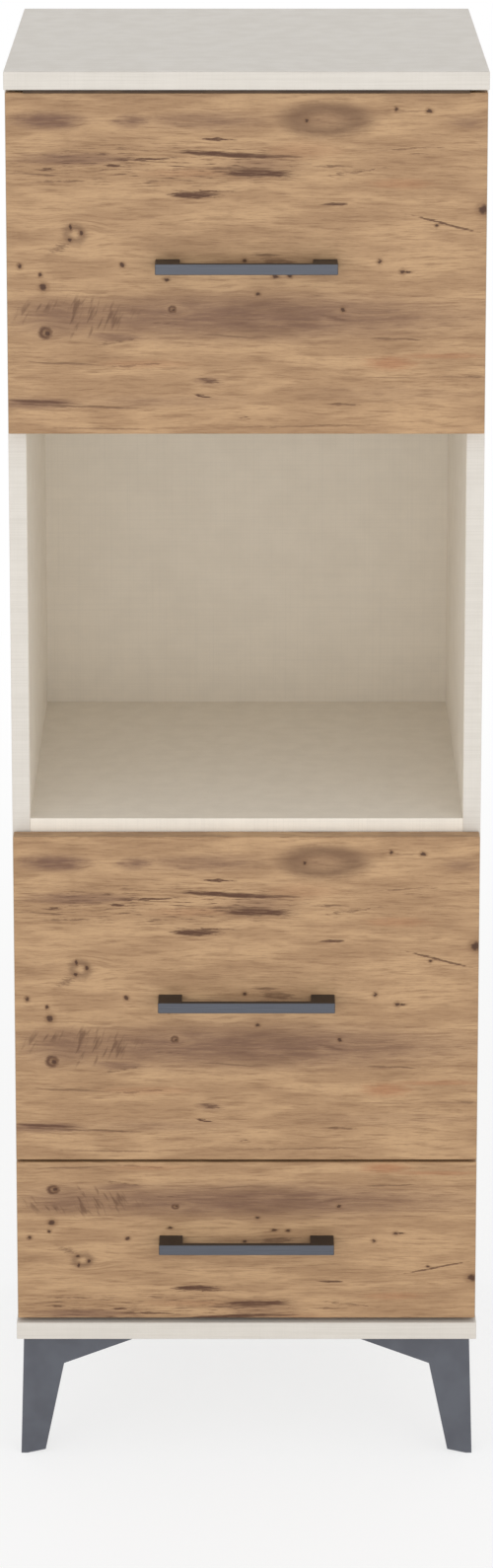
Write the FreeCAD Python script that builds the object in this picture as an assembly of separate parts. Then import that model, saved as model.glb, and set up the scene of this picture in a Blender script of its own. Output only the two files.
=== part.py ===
import FreeCAD, Part
import math
import os

# A tall free-standing microwave cabinet on four corner legs.  From the top down
# it has a lift-up flap, an open niche, a deep drawer and a shallow drawer.
# Lengths are millimetres.  The front faces -Y, +Z is up, and the origin is on
# the floor, in the middle of the overall width and depth.

# ---- Overall size ----
cabinet_width = 500.0
cabinet_height = 1530.0
top_depth = 450.0

# ---- Boards ----
board_thickness = 19.0
front_thickness = 18.0
back_thickness = 6.0
edge_chamfer = 0.6
rebate_width = 9.0
back_clearance = 0.5
same_place = 0.01
cut_overrun = 1.0

# ---- Fronts ----
shallow_front_height = 180.0
deep_front_height = 365.0
flap_height = 360.5
front_setback = 4.0
front_side_reveal = 1.5
front_bottom_gap = 4.0
front_gap = 3.0
hinge_gap = 3.5
shelf_edge_showing = 14.0
flap_overlap = 2.0
bumper_gap = 2.0

# ---- Handles ----
handle_length = 189.0
handle_height = 11.5
handle_projection = 26.0
handle_bar_depth = 6.5
handle_post_width = 25.5
handle_hole_spacing = 160.0
handle_edge_chamfer = 0.6
handle_screw_radius = 2.0
handle_hole_radius = 2.5
handle_screw_bite = 9.0
handle_screw_head_radius = 4.0
handle_screw_head_height = 2.4

# ---- Corner legs ----
leg_height = 135.0
leg_inset = 7.4
leg_splay = 3.9
leg_wall = 5.0
leg_top_wing = 127.0
leg_knee_wing = 44.5
leg_foot_wing = 25.8
leg_knee_drop = 31.0
leg_foot_level = 6.5
leg_foot_rise = 4.2
leg_flange_thickness = 4.0
leg_flange_reach = 104.0
leg_rib_thickness = 4.0
leg_rib_reach = 30.0
leg_rib_drop = 46.0
leg_hole_radius = 2.2
leg_hole_near = 20.0
leg_hole_far = 68.0

# ---- Drawer boxes ----
drawer_board = 12.0
drawer_rear_clearance = 22.0
deep_box_height = 220.0
shallow_box_height = 120.0
box_rise = 22.0
drawer_base_thickness = 4.0
drawer_base_rise = 10.0
groove_depth = 5.0
groove_clearance = 0.2

# ---- Telescopic rails ----
rail_width = 12.7
rail_side_clearance = 0.3
rail_height = 45.0
rail_steel = 1.2
rail_running_gap = 0.4
rail_front_setback = 3.0
rail_rear_clearance = 17.0
rail_rise = 46.0
rail_bend_radius = 1.0
middle_web_offset = 4.2
rail_hole_radius = 2.2
rail_hole_front = 37.0
rail_hole_rear = 75.0
rail_web_gap = 3.2

# ---- Piano hinge of the flap ----
hinge_end_inset = 20.0
hinge_knuckles = 5
knuckle_radius = 1.8
hinge_pin_radius = 0.8
hinge_pin_play = 0.05
knuckle_gap = 0.4
hinge_leaf_thickness = 1.0
hinge_leaf_width = 15.0
hinge_leaf_clearance = 0.2
knuckle_board_gap = 0.1

# ---- Gas struts of the flap ----
strut_inset = 13.0
strut_tube_radius = 7.5
strut_bore_radius = 6.0
strut_rod_radius = 3.0
strut_tube_start = 5.0
strut_rod_showing = 35.4
strut_guide_length = 6.0
strut_play = 0.05
strut_piston_length = 8.0
strut_piston_rest = 19.0
strut_bore_start = 14.0
strut_socket_radius = 7.0
strut_socket_width = 10.0
strut_stud_radius = 4.0
strut_pivot_back = 36.0
strut_pivot_drop = 31.0
strut_flap_offset = 26.0
strut_flap_drop = 185.0
strut_open_gap = 0.3
bracket_thickness = 2.0
bracket_length = 40.0
bracket_width = 18.0
bracket_corner_radius = 7.0
bracket_edge_margin = 3.0

# ---- Cam fittings ----
cam_radius = 7.5
cam_depth = 12.5
cam_setback = 34.0
cam_play = 0.1
cam_edge_distance = 50.0

# ---- Bumpers ----
bumper_radius = 4.0
bumper_air = 0.3
bumper_end_distance = 40.0

# ---- Places worked out from the sizes above ----
half_width = cabinet_width / 2
overall_depth = top_depth + handle_projection - front_setback
rear_y = overall_depth / 2
top_front_y = rear_y - top_depth
front_face_y = top_front_y + front_setback
front_back_y = front_face_y + front_thickness
carcass_front_y = front_back_y + bumper_gap
back_face_y = rear_y - back_thickness
inner_half_width = half_width - board_thickness
side_bottom = leg_height + board_thickness
side_top = cabinet_height - board_thickness
front_half_width = half_width - front_side_reveal

shallow_bottom = side_bottom + front_bottom_gap
shallow_top = shallow_bottom + shallow_front_height
deep_bottom = shallow_top + front_gap
deep_top = deep_bottom + deep_front_height
niche_floor = deep_top + shelf_edge_showing
flap_top = side_top - hinge_gap
flap_bottom = flap_top - flap_height
upper_shelf_bottom = flap_bottom + flap_overlap

hinge_y = front_face_y - knuckle_radius - knuckle_board_gap
hinge_z = side_top - knuckle_radius - knuckle_board_gap

X = FreeCAD.Vector(1, 0, 0)
Y = FreeCAD.Vector(0, 1, 0)
Z = FreeCAD.Vector(0, 0, 1)


def point(x, y, z):
    return FreeCAD.Vector(x, y, z)


def block(x0, x1, y0, y1, z0, z1):
    return Part.makeBox(x1 - x0, y1 - y0, z1 - z0, point(x0, y0, z0))


def rod(radius, length, start, direction):
    return Part.makeCylinder(radius, length, start, direction)


def prism(points, direction):
    outline = Part.makePolygon(points + points[:1])
    return Part.Face(outline).extrude(direction)


def softened(shape):
    return shape.makeChamfer(edge_chamfer, shape.Edges)


def mirrored(shape):
    return shape.mirror(point(0, 0, 0), X)


def both_sides(shapes):
    return shapes + [mirrored(shape) for shape in shapes]


def cut_all(shape, tools):
    for tool in tools:
        shape = shape.cut(tool)
    return shape


def fuse_all(shapes):
    whole = shapes[0]
    for shape in shapes[1:]:
        whole = whole.fuse(shape)
    return whole.removeSplitter()


def export(node, shapes):
    if not isinstance(shapes, list):
        shapes = [shapes]
    solids = [solid for shape in shapes for solid in shape.Solids]
    whole = solids[0] if len(solids) == 1 else Part.makeCompound(solids)
    whole.exportStep(os.path.join("parts", node + ".step"))
    print(node, "solids", len(solids), "valid", whole.isValid())


def screw(seat, direction, shank_radius, shank_length, head_radius, head_height):
    """A screw whose head sits on the point seat and whose shank runs along direction."""
    shank = rod(shank_radius, shank_length, seat, direction)
    head = rod(head_radius, head_height, seat, direction * -1)
    return shank.fuse(head).removeSplitter()


# ---- Cam locks: each draws a board's end against the face of another board ----
def cam_places():
    """Right-hand locks: the mouth of each bore and the way it sinks."""
    y_places = (carcass_front_y + cam_edge_distance, back_face_y - cam_edge_distance)
    places = []
    for y in y_places:
        for underside in (niche_floor - board_thickness, upper_shelf_bottom):
            places.append((point(inner_half_width - cam_setback, y, underside), Z))
        places.append((point(inner_half_width, y, side_top - cam_setback), X))
        places.append((point(inner_half_width, y, side_bottom + cam_setback), X))
    return places


def cam_locks():
    return both_sides([rod(cam_radius, cam_depth, mouth, way) for mouth, way in cam_places()])


def cam_holes():
    depth = cam_depth + cam_play
    radius = cam_radius + cam_play
    return both_sides([rod(radius, depth, mouth, way) for mouth, way in cam_places()])


# ---- Carcass boards ----
def side_panel():
    panel = softened(block(inner_half_width, half_width, carcass_front_y, rear_y,
                           side_bottom, side_top))
    rebate = block(inner_half_width - cut_overrun, inner_half_width + rebate_width,
                   back_face_y, rear_y + cut_overrun,
                   side_bottom - cut_overrun, side_top + cut_overrun)
    return cut_all(panel, [rebate] + cam_holes())


def end_board(bottom, rebate_low, rebate_high):
    """The top or bottom board, whose rear inner edge is rebated for the back panel."""
    board = softened(block(-half_width, half_width, top_front_y, rear_y,
                           bottom, bottom + board_thickness))
    rebate = block(-inner_half_width - rebate_width, inner_half_width + rebate_width,
                   back_face_y, rear_y + cut_overrun, rebate_low, rebate_high)
    return board.cut(rebate)


def fixed_shelf(bottom):
    board = block(-inner_half_width, inner_half_width, carcass_front_y, back_face_y,
                  bottom, bottom + board_thickness)
    front_edges = [edge for edge in board.Edges
                   if abs(edge.CenterOfMass.y - carcass_front_y) < same_place
                   and abs(edge.CenterOfMass.x) < same_place]
    return cut_all(board.makeChamfer(edge_chamfer, front_edges), cam_holes())


def back_panel():
    reach = inner_half_width + rebate_width - back_clearance
    rebate_rise = rebate_width - back_clearance
    return block(-reach, reach, back_face_y, rear_y,
                 side_bottom - rebate_rise, side_top + rebate_rise)


# ---- Legs ----
def tapered(low, high):
    """A flat-faced solid between two outlines that have their corners in the same order."""
    faces = [Part.Face(Part.makePolygon(ring + ring[:1])) for ring in (low, high)]
    for index in range(len(low)):
        after = (index + 1) % len(low)
        corners = [low[index], low[after], high[after], high[index], low[index]]
        faces.append(Part.Face(Part.makePolygon(corners)))
    return Part.Solid(Part.Shell(faces))


def leg_corner(shift):
    """Outer corner of the right front leg, moved outwards both ways by shift."""
    return half_width - leg_inset + shift, top_front_y + leg_inset - shift


def leg_section(height, wing, shift):
    """The L-shaped outline of the right front leg at one height."""
    outer_x, outer_y = leg_corner(shift)
    corners = [(0, 0), (wing, 0), (wing, leg_wall), (leg_wall, leg_wall),
               (leg_wall, wing), (0, wing)]
    return [point(outer_x - along, outer_y + back, height) for along, back in corners]


def leg_holes():
    """Screw holes through the flange of the right front leg."""
    corner_x, corner_y = leg_corner(0)
    reaches = ((leg_hole_near, leg_hole_far), (leg_hole_far, leg_hole_near))
    low = leg_height - leg_flange_thickness
    return [rod(leg_hole_radius, leg_flange_thickness,
                point(corner_x - along, corner_y + back, low), Z) for along, back in reaches]


def leg_foot_cuts():
    """Wedges that lift the bottom edge of each wing, so the leg stands on its corner."""
    corner_x, corner_y = leg_corner(leg_splay)
    reach = leg_foot_wing + cut_overrun
    rise = leg_foot_rise * (reach - leg_foot_level) / (leg_foot_wing - leg_foot_level)
    below = -cut_overrun
    profile = ((leg_foot_level, 0), (reach, rise), (reach, below), (leg_foot_level, below))
    front = prism([point(corner_x - along, corner_y, up) for along, up in profile], Y * reach)
    side = prism([point(corner_x, corner_y + back, up) for back, up in profile], X * -reach)
    return [front, side]


def leg_rib():
    """An upright plate across the corner's diagonal, from the flange down the fold."""
    corner_x, corner_y = leg_corner(0)
    flange_z = leg_height - leg_flange_thickness
    start = leg_wall - leg_rib_thickness / 2
    half = leg_rib_thickness / 2 * math.sqrt(0.5)
    profile = ((start, flange_z), (leg_rib_reach, flange_z), (start, flange_z - leg_rib_drop))
    corners = [point(corner_x - across - half, corner_y + across - half, up)
               for across, up in profile]
    return prism(corners, point(2 * half, 2 * half, 0))


def leg():
    """The right front leg: a splayed corner wall, a screw flange and a corner rib."""
    knee_shift = leg_splay * leg_knee_drop / leg_height
    top = leg_section(leg_height, leg_top_wing, 0)
    knee = leg_section(leg_height - leg_knee_drop, leg_knee_wing, knee_shift)
    foot = leg_section(0, leg_foot_wing, leg_splay)
    upper = tapered(knee, top)
    lower = tapered(foot, knee)
    corner_x, corner_y = leg_corner(0)
    flange_z = leg_height - leg_flange_thickness
    inner = leg_wall / 2
    flange = prism([point(corner_x - inner, corner_y + inner, flange_z),
                    point(corner_x - leg_flange_reach, corner_y + inner, flange_z),
                    point(corner_x - inner, corner_y + leg_flange_reach, flange_z)],
                   Z * leg_flange_thickness)
    return cut_all(fuse_all([lower, upper, flange, leg_rib()]), leg_foot_cuts() + leg_holes())


def to_rear(shape):
    """A front corner piece carried to the rear corner on the same side."""
    middle_y = (top_front_y + rear_y) / 2
    return shape.mirror(point(0, middle_y, 0), Y)


# ---- Fronts and handles ----
def handle_hole_points(height):
    return [point(side * handle_hole_spacing / 2, front_face_y, height) for side in (-1, 1)]


def front_panel(bottom, height):
    panel = softened(block(-front_half_width, front_half_width, front_face_y, front_back_y,
                           bottom, bottom + height))
    holes = [rod(handle_hole_radius, front_thickness, place, Y)
             for place in handle_hole_points(bottom + height / 2)]
    return cut_all(panel, holes)


def handle(height):
    """A flat bar handle with two wide square posts, bored from behind for its screws."""
    half = handle_length / 2
    bar_front = front_face_y - handle_projection
    bar_back = bar_front + handle_bar_depth
    post = half - handle_post_width
    low = height - handle_height / 2
    plan = [(-half, bar_front), (half, bar_front), (half, front_face_y), (post, front_face_y),
            (post, bar_back), (-post, bar_back), (-post, front_face_y), (-half, front_face_y)]
    body = prism([point(x, y, low) for x, y in plan], Z * handle_height)
    outer_edges = [edge for edge in body.Edges if edge.CenterOfMass.y < front_face_y - same_place]
    body = body.makeChamfer(handle_edge_chamfer, outer_edges)
    holes = [rod(handle_screw_radius, handle_screw_bite, place, Y * -1)
             for place in handle_hole_points(height)]
    return cut_all(body, holes)


def handle_screws(height, grip):
    """Two screws from behind; grip is the thickness they clamp."""
    return [screw(place + Y * grip, Y * -1, handle_screw_radius, grip + handle_screw_bite,
                  handle_screw_head_radius, handle_screw_head_height)
            for place in handle_hole_points(height)]


# ---- Drawers ----
box_half_width = inner_half_width - rail_width - rail_side_clearance
base_inset = groove_depth - groove_clearance


def drawer_boards(bottom, height, handle_z):
    """The five boards of a drawer box, by name; the handle's screws pass the front one."""
    top = bottom + height
    front_y = front_back_y
    rear = back_face_y - drawer_rear_clearance
    inner = box_half_width - drawer_board
    base_z = bottom + drawer_base_rise
    groove_reach = inner + groove_depth
    groove = block(-groove_reach, groove_reach, front_y + drawer_board - groove_depth,
                   rear - drawer_board + groove_depth, base_z,
                   base_z + drawer_base_thickness + groove_clearance)
    side = block(inner, box_half_width, front_y, rear, bottom, top).cut(groove)
    holes = [rod(handle_hole_radius, drawer_board, place + Y * front_thickness, Y)
             for place in handle_hole_points(handle_z)]
    inner_front = block(-inner, inner, front_y, front_y + drawer_board, bottom, top)
    back = block(-inner, inner, rear - drawer_board, rear, bottom, top)
    base_reach = groove_reach - groove_clearance
    base = block(-base_reach, base_reach, front_y + drawer_board - base_inset,
                 rear - drawer_board + base_inset, base_z, base_z + drawer_base_thickness)
    return {"side_right": side,
            "side_left": mirrored(side),
            "inner_front": cut_all(inner_front, [groove] + holes),
            "back": back.cut(groove),
            "base": base}


# ---- Rails ----
rail_start_y = carcass_front_y + rail_front_setback
rail_length = back_face_y - rail_rear_clearance - rail_start_y
outer_half_height = rail_height / 2
middle_half_height = outer_half_height - rail_steel - rail_running_gap
inner_half_height = middle_half_height - rail_steel - rail_running_gap
cabinet_web = inner_half_width
drawer_web = box_half_width
middle_web = cabinet_web - middle_web_offset
middle_open = drawer_web + rail_steel
outer_open = middle_open + rail_steel
inner_open = middle_web - rail_steel - rail_web_gap


def channel(web_x, open_x, half_height, centre_z):
    """A folded steel channel on the right-hand side, open towards open_x."""
    inward = -1 if open_x < web_x else 1
    steel = rail_steel
    inner_web = web_x + inward * steel
    section = [(web_x, -half_height), (open_x, -half_height), (open_x, -half_height + steel),
               (inner_web, -half_height + steel), (inner_web, half_height - steel),
               (open_x, half_height - steel), (open_x, half_height), (web_x, half_height)]
    body = prism([point(x, rail_start_y, centre_z + z) for x, z in section], Y * rail_length)
    bends = [edge for edge in body.Edges
             if abs(edge.CenterOfMass.x - web_x) < same_place
             and abs(edge.Length - rail_length) < same_place]
    return body.makeFillet(rail_bend_radius, bends)


def rail_holes(web_x, centre_z, way):
    places = (rail_start_y + rail_hole_front, rail_start_y + rail_length - rail_hole_rear)
    return [rod(rail_hole_radius, rail_steel, point(web_x, y, centre_z), way) for y in places]


def cabinet_rail(centre_z):
    body = channel(cabinet_web, outer_open, outer_half_height, centre_z)
    return cut_all(body, rail_holes(cabinet_web, centre_z, X * -1))


def middle_rail(centre_z):
    return channel(middle_web, middle_open, middle_half_height, centre_z)


def drawer_rail(centre_z):
    body = channel(drawer_web, inner_open, inner_half_height, centre_z)
    return cut_all(body, rail_holes(drawer_web, centre_z, X))


# ---- Piano hinge ----
hinge_length = cabinet_width - 2 * hinge_end_inset


def hinge_segments(first):
    """Start and end of every second knuckle, from the left, beginning with first."""
    pitch = hinge_length / hinge_knuckles
    spans = []
    for index in range(first, hinge_knuckles, 2):
        start = -hinge_length / 2 + index * pitch
        spans.append((start + knuckle_gap / 2, start + pitch - knuckle_gap / 2))
    return spans


def hinge_leaf(first, leaf_low):
    """One leaf with its knuckles, around the shared pin."""
    leaf_high = leaf_low + hinge_leaf_thickness
    leaf_front = front_face_y + hinge_leaf_clearance
    pieces = [block(-hinge_length / 2, hinge_length / 2, leaf_front,
                    leaf_front + hinge_leaf_width, leaf_low, leaf_high)]
    for start, end in hinge_segments(first):
        pieces.append(rod(knuckle_radius, end - start, point(start, hinge_y, hinge_z), X))
        low = max(leaf_low, hinge_z - knuckle_radius + knuckle_board_gap)
        high = min(leaf_high, hinge_z + knuckle_radius - knuckle_board_gap)
        pieces.append(block(start, end, hinge_y, leaf_front + hinge_leaf_thickness, low, high))
    bore = rod(hinge_pin_radius + hinge_pin_play, hinge_length,
               point(-hinge_length / 2, hinge_y, hinge_z), X)
    return fuse_all(pieces).cut(bore)


def hinge_pin():
    return rod(hinge_pin_radius, hinge_length, point(-hinge_length / 2, hinge_y, hinge_z), X)


# ---- Gas struts ----
strut_x = inner_half_width - strut_inset
strut_y = carcass_front_y + strut_pivot_back
strut_z = side_top - strut_pivot_drop
flap_stud_y = front_back_y + strut_flap_offset
flap_stud_z = hinge_z - strut_flap_drop
strut_length = math.hypot(flap_stud_y - strut_y, flap_stud_z - strut_z)
strut_way = point(0, (flap_stud_y - strut_y) / strut_length, (flap_stud_z - strut_z) / strut_length)
strut_tube_length = strut_length - strut_tube_start - strut_rod_showing


def along_strut(distance):
    return point(strut_x, strut_y, strut_z) + strut_way * distance


def socket(centre):
    return rod(strut_socket_radius, strut_socket_width, centre - X * (strut_socket_width / 2), X)


def strut_tube():
    """The right-hand tube: its socket, and a bored barrel with a rod guide at its mouth."""
    barrel = rod(strut_tube_radius, strut_tube_length, along_strut(strut_tube_start), strut_way)
    mouth = strut_tube_start + strut_tube_length
    bore_length = mouth - strut_guide_length - strut_bore_start
    bore = rod(strut_bore_radius, bore_length, along_strut(strut_bore_start), strut_way)
    guide = rod(strut_rod_radius + strut_play, strut_guide_length,
                along_strut(mouth - strut_guide_length), strut_way)
    pin_hole = rod(strut_stud_radius + strut_play, 2 * strut_socket_width,
                   along_strut(0) - X * strut_socket_width, X)
    body = fuse_all([barrel, socket(along_strut(0))])
    return cut_all(body, [bore, guide, pin_hole])


def strut_rod():
    """The right-hand rod: piston, rod and the socket that meets the flap's stud."""
    piston = rod(strut_bore_radius - strut_play, strut_piston_length,
                 along_strut(strut_piston_rest), strut_way)
    shaft_start = strut_piston_rest + strut_piston_length
    shaft = rod(strut_rod_radius, strut_length - shaft_start, along_strut(shaft_start), strut_way)
    return fuse_all([piston, shaft, socket(along_strut(strut_length))])


def cabinet_bracket():
    """A round-ended plate on the side panel with a stud through the strut's socket."""
    half = bracket_width / 2
    plate_x = inner_half_width - bracket_thickness
    plate = block(plate_x, inner_half_width, strut_y - half, strut_y + half,
                  strut_z - bracket_length / 2, strut_z + bracket_length / 2)
    upright = [edge for edge in plate.Edges if abs(edge.tangentAt(edge.FirstParameter).x) > 0.5]
    plate = plate.makeFillet(bracket_corner_radius, upright)
    stud_length = strut_inset + strut_socket_width / 2 - bracket_thickness
    stud = rod(strut_stud_radius, stud_length, point(plate_x, strut_y, strut_z), X * -1)
    return fuse_all([plate, stud])


def flap_bracket():
    """A folded plate on the back of the flap whose stud points at the strut's socket."""
    half = bracket_width / 2
    ear_outer = strut_x - strut_socket_width / 2 - strut_open_gap - bracket_thickness
    ear_inner = ear_outer - bracket_thickness
    reach = flap_stud_y + strut_stud_radius + bracket_edge_margin
    plate = block(ear_inner - bracket_width, ear_outer, front_back_y,
                  front_back_y + bracket_thickness,
                  flap_stud_z - bracket_length / 2, flap_stud_z + bracket_length / 2)
    ear = prism([point(ear_inner, front_back_y, flap_stud_z - bracket_length / 2),
                 point(ear_inner, front_back_y, flap_stud_z + bracket_length / 2),
                 point(ear_inner, reach, flap_stud_z + half),
                 point(ear_inner, reach, flap_stud_z - half)], X * bracket_thickness)
    stud = rod(strut_stud_radius, bracket_thickness, point(ear_outer, flap_stud_y, flap_stud_z), X)
    return fuse_all([plate, ear, stud])


# ---- Bumpers ----
def bumpers():
    x = half_width - board_thickness / 2
    heights = (shallow_top - bumper_end_distance, deep_top - bumper_end_distance,
               flap_bottom + bumper_end_distance)
    pads = [rod(bumper_radius, bumper_gap - bumper_air, point(x, carcass_front_y, z), Y * -1)
            for z in heights]
    return both_sides(pads)


# ---- Build every piece ----
os.makedirs("parts", exist_ok=True)

right_side = side_panel()
export("side_panel_right", right_side)
export("side_panel_left", mirrored(right_side))
export("top_panel", end_board(side_top, side_top - cut_overrun, side_top + rebate_width))
export("bottom_panel", end_board(leg_height, side_bottom - rebate_width, side_bottom + cut_overrun))
export("niche_shelf", fixed_shelf(niche_floor - board_thickness))
export("upper_shelf", fixed_shelf(upper_shelf_bottom))
export("back_panel", back_panel())
export("cam_locks", cam_locks())
export("front_bumpers", bumpers())

front_right_leg = leg()
export("leg_front_right", front_right_leg)
export("leg_front_left", mirrored(front_right_leg))
export("leg_rear_right", to_rear(front_right_leg))
export("leg_rear_left", mirrored(to_rear(front_right_leg)))

flap_middle = flap_bottom + flap_height / 2
export("flap_panel", front_panel(flap_bottom, flap_height))
export("flap_handle", handle(flap_middle))
export("flap_handle_screws", handle_screws(flap_middle, front_thickness))
export("hinge_leaf_cabinet", hinge_leaf(0, side_top - hinge_leaf_thickness))
export("hinge_leaf_flap", hinge_leaf(1, flap_top))
export("hinge_pin", hinge_pin())
export("strut_tube_right", strut_tube())
export("strut_tube_left", mirrored(strut_tube()))
export("strut_rod_right", strut_rod())
export("strut_rod_left", mirrored(strut_rod()))
export("strut_brackets_cabinet", both_sides([cabinet_bracket()]))
export("strut_brackets_flap", both_sides([flap_bracket()]))

drawers = (("shallow_drawer", shallow_bottom, shallow_front_height, shallow_box_height),
           ("deep_drawer", deep_bottom, deep_front_height, deep_box_height))
for name, front_low, front_height, box_height in drawers:
    box_bottom = front_low + box_rise
    rail_z = box_bottom + rail_rise
    middle = front_low + front_height / 2
    export(name + "_front", front_panel(front_low, front_height))
    export(name + "_handle", handle(middle))
    export(name + "_handle_screws", handle_screws(middle, front_thickness + drawer_board))
    for board_name, shape in drawer_boards(box_bottom, box_height, middle).items():
        export(name + "_" + board_name, shape)
    export(name + "_cabinet_rails", both_sides([cabinet_rail(rail_z)]))
    export(name + "_middle_rails", both_sides([middle_rail(rail_z)]))
    export(name + "_box_rails", both_sides([drawer_rail(rail_z)]))
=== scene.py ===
import math

import bmesh
import bpy
from mathutils import Matrix, Vector

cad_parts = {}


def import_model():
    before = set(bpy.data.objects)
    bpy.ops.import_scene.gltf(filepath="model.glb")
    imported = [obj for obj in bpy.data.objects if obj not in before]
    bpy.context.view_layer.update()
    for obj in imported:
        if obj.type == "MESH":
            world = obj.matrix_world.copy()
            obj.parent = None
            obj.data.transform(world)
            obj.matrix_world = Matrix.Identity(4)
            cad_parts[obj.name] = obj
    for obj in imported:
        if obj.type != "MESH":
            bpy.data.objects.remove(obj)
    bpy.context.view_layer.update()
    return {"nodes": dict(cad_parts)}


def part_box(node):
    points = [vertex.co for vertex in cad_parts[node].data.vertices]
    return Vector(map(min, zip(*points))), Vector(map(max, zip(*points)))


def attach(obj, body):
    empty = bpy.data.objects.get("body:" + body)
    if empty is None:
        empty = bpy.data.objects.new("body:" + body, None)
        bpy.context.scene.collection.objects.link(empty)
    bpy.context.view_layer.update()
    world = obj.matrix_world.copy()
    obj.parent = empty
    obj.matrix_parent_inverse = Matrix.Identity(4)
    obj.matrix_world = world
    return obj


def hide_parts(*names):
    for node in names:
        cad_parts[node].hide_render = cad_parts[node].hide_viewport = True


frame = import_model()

# A tall microwave cabinet: pine fronts on a cream carcass, with anthracite handles and legs.
# Lengths are written in millimetres and turned into metres by MM; only the lamps, the floor
# and the camera are given in metres. The front faces -Y.

MM = 0.001
nodes = frame["nodes"]


def corner_box(node):
    """Lowest and highest corner of a CAD node, in millimetres."""
    low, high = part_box(node)
    return low / MM, high / MM


def middle_of(node):
    low, high = corner_box(node)
    return (low + high) / 2


DRAWERS = ("shallow_drawer", "deep_drawer")
flap_low, flap_high = corner_box("flap_panel")
side_low, side_high = corner_box("side_panel_right")


# ---------------------------------------------------------------------------
# Shader maths
# ---------------------------------------------------------------------------
def colour(red, green, blue):
    """A colour as seen, 0 to 255 a channel, in the linear values that a shader takes."""
    def linear(channel):
        share = channel / 255
        return share / 12.92 if share <= 0.04045 else ((share + 0.055) / 1.055) ** 2.4
    return (linear(red), linear(green), linear(blue), 1.0)


class Value:
    """A socket that Python's arithmetic works on."""

    def __init__(self, nodes, socket):
        self.nodes = nodes
        self.socket = socket

    def maths(self, operation, *terms):
        return self.nodes.node("Math", {"operation": operation}, dict(enumerate(terms)))

    def __add__(self, other):
        return self.maths("ADD", self, other)

    def __sub__(self, other):
        return self.maths("SUBTRACT", self, other)

    def __rsub__(self, other):
        return self.maths("SUBTRACT", other, self)

    def __mul__(self, other):
        return self.maths("MULTIPLY", self, other)

    def __gt__(self, other):
        return self.maths("GREATER_THAN", self, other)

    def __lt__(self, other):
        return self.maths("LESS_THAN", self, other)

    def __abs__(self):
        return self.maths("ABSOLUTE", self)

    def sine(self):
        return self.maths("SINE", self)

    def either(self, other):
        """The larger of two values."""
        return self.maths("MAXIMUM", self, other)

    __radd__ = __add__
    __rmul__ = __mul__


# A Mix node's sockets for colours
MIX_SHARE = 0
MIX_FIRST = 6
MIX_SECOND = 7
MIXED_COLOUR = 2


class Nodes:
    """A node tree that is filled node by node."""

    def __init__(self, tree):
        self.tree = tree

    def node(self, kind, settings, values, output=0):
        """Any node: its type, its settings, then its sockets' values or links."""
        made = self.tree.nodes.new("ShaderNode" + kind)
        for setting, value in settings.items():
            setattr(made, setting, value)
        for key, value in values.items():
            socket = made.inputs[key]
            if isinstance(value, Value):
                self.tree.links.new(value.socket, socket)
            else:
                socket.default_value = value
        return Value(self, made.outputs[output]) if made.outputs else None

    def seen_directly(self):
        """1 for what the camera, a mirror or clear glass looks at, 0 for light on a piece."""
        camera, gloss, glass = (self.node("LightPath", {}, {}, "Is " + ray + " Ray")
                                for ray in ("Camera", "Glossy", "Transmission"))
        return camera.either(gloss).either(glass)

    def step(self, value, low, high, start=0.0, end=1.0):
        """A smooth step from start, at low, to end, at high."""
        return self.node("MapRange", {"interpolation_type": "SMOOTHSTEP", "clamp": False},
                         {"Value": value, "From Min": low, "From Max": high,
                          "To Min": start, "To Max": end})


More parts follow.
